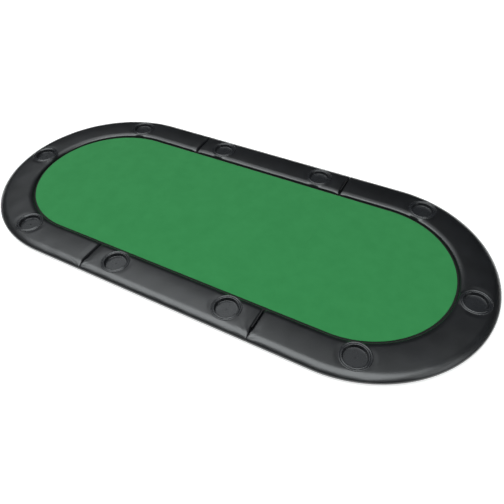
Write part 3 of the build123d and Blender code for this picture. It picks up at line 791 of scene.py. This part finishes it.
def cupProfile():
    # Runs and arcs from the middle of the underside, up the outer wall, round the flange and over its two
    # beads, and down the inner wall to the mark in the middle of the floor
    bottom = cupLow[2]
    outer = cup["opening"] + cup["wall"]
    foot = outer - cup["draft"]
    inside = cup["opening"] - cup["draft"]
    floorTop = bottom + cup["floor"]
    bend = cup["corner"] - cup["floor"]
    dotBottom = floorTop - cup["dotDeep"]
    soft, rim, corner = cup["soft"], cup["rim"], cup["corner"]
    halfBead, lift = cup["beadWidth"] / 2, cup["bead"]
    beadArc = (halfBead ** 2 + lift ** 2) / (2 * lift)
    beadTurn = np.arcsin(halfBead / beadArc)
    beadZ = flangeTop + lift - beadArc
    outerBead, innerBead = flangeRadius - halfBead, cup["opening"] + halfBead
    upright = np.pi / 2
    valleyShares = np.linspace(0.15, 0.85, 5)
    valley = straightPoints((outerBead - halfBead, flangeTop), (innerBead + halfBead, flangeTop),
                            valleyShares)
    valley[:, 1] -= cup["dip"] * np.sin(np.pi * valleyShares)
    return np.concatenate([
        straightPoints((0, bottom), (foot - corner, bottom), np.linspace(0, 1, 6)),
        arcPoints((foot - corner, bottom + corner), corner, -upright, 0, 8),
        [(outer, flangeBottom - cup["chamfer"]), (outer + cup["chamfer"], flangeBottom)],
        straightPoints((outer, flangeBottom), (flangeRadius, flangeBottom), np.linspace(0.2, 0.9, 4)),
        arcPoints((flangeRadius - soft, flangeBottom + soft), soft, -upright, 0, 5),
        arcPoints((flangeRadius - rim, flangeTop - rim / 3), rim, 0, np.pi / 3, 4),
        arcPoints((outerBead, beadZ), beadArc, upright - 0.75 * beadTurn, upright + beadTurn, 9),
        valley,
        arcPoints((innerBead, beadZ), beadArc, upright - beadTurn, upright + 0.7 * beadTurn, 9),
        arcPoints((cup["opening"] + rim, flangeTop - soft), rim, 0.72 * np.pi, np.pi, 5),
        straightPoints((cup["opening"], flangeTop - soft), (inside, floorTop + bend),
                       np.linspace(0.15, 0.9, 6)),
        arcPoints((inside - bend, floorTop + bend), bend, 0, -upright, 8),
        straightPoints((inside - bend, floorTop), (cup["dot"], floorTop), np.linspace(0.15, 0.93, 8)),
        [(cup["dot"], floorTop), (cup["dot"] - cup["dotTaper"], dotBottom), (0, dotBottom)]])


def makeCup(node, body):
    r, z = cupProfile().T
    cx, cy = cupCentre(node)
    angle = np.linspace(0, 2 * np.pi, cup["sides"], endpoint=False)
    points = np.stack([cx + np.outer(r, np.cos(angle)), cy + np.outer(r, np.sin(angle)),
                       np.repeat(z[:, None], len(angle), axis=1)], axis=-1).reshape(-1, 3)
    faces = gridFaces(len(r), len(angle), closeColumns=True)
    piece = newPiece(f"{node}_holder", points, faces.tolist(), materials["cup_plastic"], body)
    tidyMesh(piece)
    piece.data.set_sharp_from_angle(angle=np.radians(cup["sharpOver"]))
    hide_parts(node)


for which, nodes in railCups.items():
    for node in nodes:
        makeCup(node, bodyOf[which])
print("cups turned")


# The CAD nodes that stay get their own finish. The battens share the boards' slot, but have no paper face.
slotOf = {entry["node"]: entry["material_slot"] for entry in frame["record"]["subparts"]}
for node, piece in frame["nodes"].items():
    finish = "raw_fibreboard" if node.endswith("_core") else slotOf[node]
    piece.data.materials.clear()
    piece.data.materials.append(materials[finish])
print("finishes given")


# Floor, lights and camera. A strength of 1 for the eye is white, and the floor keeps the shadow.
studio = {"floor": "#d2d2d0", "half": 9.0, "glow": 0.6, "glowFrom": 2.0, "whiteFrom": 5.0, "upright": 0.999,
          "world": 0.008, "lampColour": (0.94, 0.985, 1.0), "floorGap": 0.2 * mm}
# Each lamp's place, size, watts and tilt about the table's crosswise axis: one large softbox, a row of
# dim panels behind the table, and a card at the right
lamps = {"overhead_softbox": ((-0.75, -1.75, 6.0), (10.5, 4.8), 545.0, 0),
         "left_panel": ((-5.6, 2.4, 6.0), (2.5, 3.4), 29.0, 0),
         "middle_panel": ((-3.0, 2.4, 6.0), (2.5, 3.4), 39.0, 0),
         "right_panel": ((0.2, 2.4, 6.0), (3.9, 3.3), 24.0, 0),
         "corner_panel": ((-8.6, 4.2, 6.0), (3.0, 3.0), 6.0, 0),
         "right_card": ((6.6, -0.6, 4.3), (3.6, 3.6), 60.0, 55)}


def makeFloorPaint():
    # Past the lamps' reach the glow makes up for the light. The paint shows only from above and while
    # the floor lies level and the right way up.
    material, tree, place = newMaterial("matt_floor_paint")
    away = addNode(tree, "VectorMath", {0: place}, operation="LENGTH").outputs["Value"]
    glowLevel = addNode(tree, "MapRange", {0: away, 1: studio["glowFrom"], 2: studio["whiteFrom"],
                                           3: studio["glow"], 4: 1.0})
    surface = addNode(tree, "NewGeometry").outputs
    upward = addNode(tree, "SeparateXYZ", {0: surface["True Normal"]}).outputs[2]
    level = addNode(tree, "Math", {0: upward, 1: studio["upright"]}, operation="GREATER_THAN")
    shown = addNode(tree, "Math", {0: level, 1: surface["Backfacing"]}, operation="SUBTRACT", use_clamp=True)
    path = addNode(tree, "LightPath").outputs
    mirrored = addNode(tree, "Math", {0: path["Is Glossy Ray"], 1: path["Is Transmission Ray"]},
                       operation="MAXIMUM")
    either = addNode(tree, "Math", {0: path["Is Camera Ray"], 1: mirrored}, operation="MAXIMUM")
    seen = addNode(tree, "Math", {0: either, 1: glowLevel}, operation="MULTIPLY")
    paint = addNode(tree, "BsdfDiffuse", {"Color": hexColour(studio["floor"])})
    glow = addNode(tree, "Emission", {"Color": (1, 1, 1, 1), "Strength": seen})
    lit = addNode(tree, "AddShader", {0: paint, 1: glow})
    clear = addNode(tree, "BsdfTransparent")
    oneSided = addNode(tree, "MixShader", {0: shown, 1: clear, 2: lit})
    addNode(tree, "OutputMaterial", {"Surface": oneSided})
    return material


def makeFloor(name, height, material):
    half = studio["half"]
    corners = [(-half, -half, height), (half, -half, height), (half, half, height), (-half, half, height)]
    mesh = bpy.data.meshes.new(name)
    mesh.from_pydata(corners, [], [[0, 1, 2, 3]])
    mesh.materials.append(material)
    piece = bpy.data.objects.new(name, mesh)
    bpy.context.scene.collection.objects.link(piece)
    return piece


def makeLight(name, place, size, watts, tilt):
    light = bpy.data.lights.new(name, "AREA")
    light.shape = "RECTANGLE"
    light.size, light.size_y = size
    light.energy = watts
    light.color = studio["lampColour"]
    lamp = bpy.data.objects.new(name, light)
    lamp.location = place
    lamp.rotation_euler = (0, np.radians(tilt), 0)
    bpy.context.scene.collection.objects.link(lamp)


def makeWorld():
    world = bpy.data.worlds.new("studio_world")
    world.use_nodes = True
    tree = world.node_tree
    tree.nodes.clear()
    path = addNode(tree, "LightPath")
    level = addNode(tree, "MapRange", {0: path.outputs["Is Camera Ray"], 3: studio["world"], 4: 1.0})
    sky = addNode(tree, "Background", {"Color": (1, 1, 1, 1), "Strength": level})
    addNode(tree, "OutputWorld", {"Surface": sky})
    bpy.context.scene.world = world


# The left section folds under the centre one, to below the floor that the open table stands on. That
# floor turns away with it, and the folded table lies on a lower one.
pinLow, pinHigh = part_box("under_near_hinge_pin")
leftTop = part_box("left_tip_cup")[1][2]
floorPaint = makeFloorPaint()
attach(makeFloor("studio_floor", 0.0, floorPaint), "left_section")
makeFloor("lower_floor", pinLow[2] + pinHigh[2] - leftTop - studio["floorGap"], floorPaint)
for name, (place, size, watts, tilt) in lamps.items():
    makeLight(name, place, size, watts, tilt)
makeWorld()

# The camera as fitted to the photo: angles in degrees, distance and aim in metres, the focal length, the
# frame and the height of the picture's middle in the photo's pixels, and the sensor in millimetres
view = {"azimuth": 30.061, "elevation": 45.798, "roll": 2.560, "distance": 1.8111, "focal": 508.27,
        "aim": (0.1856, -0.1266), "frame": 504, "sensor": 36.0, "centreY": 252.5}


def makeCamera():
    azimuth, elevation, roll = (np.radians(view[key]) for key in ("azimuth", "elevation", "roll"))
    away = np.array([np.sin(azimuth) * np.cos(elevation), -np.cos(azimuth) * np.cos(elevation),
                     np.sin(elevation)])
    place = np.array([*view["aim"], crownTop]) + away * view["distance"]
    right = np.cross(-away, (0, 0, 1))
    right /= np.linalg.norm(right)
    down = np.cross(-away, right)
    turnedRight = np.cos(roll) * right + np.sin(roll) * down
    turnedDown = np.cos(roll) * down - np.sin(roll) * right
    camera = bpy.data.objects.new("photo_camera", bpy.data.cameras.new("photo_camera"))
    axes = np.column_stack([turnedRight, -turnedDown, away, place])
    camera.matrix_world = Matrix([*axes.tolist(), [0, 0, 0, 1]])
    camera.data.sensor_fit = "HORIZONTAL"
    camera.data.sensor_width = view["sensor"]
    camera.data.lens = view["focal"] / view["frame"] * view["sensor"]
    camera.data.shift_y = (view["centreY"] - view["frame"] / 2) / view["frame"]
    bpy.context.scene.collection.objects.link(camera)
    bpy.context.scene.camera = camera


makeCamera()
bpy.context.scene.view_settings.view_transform = "Standard"
print("stage set")
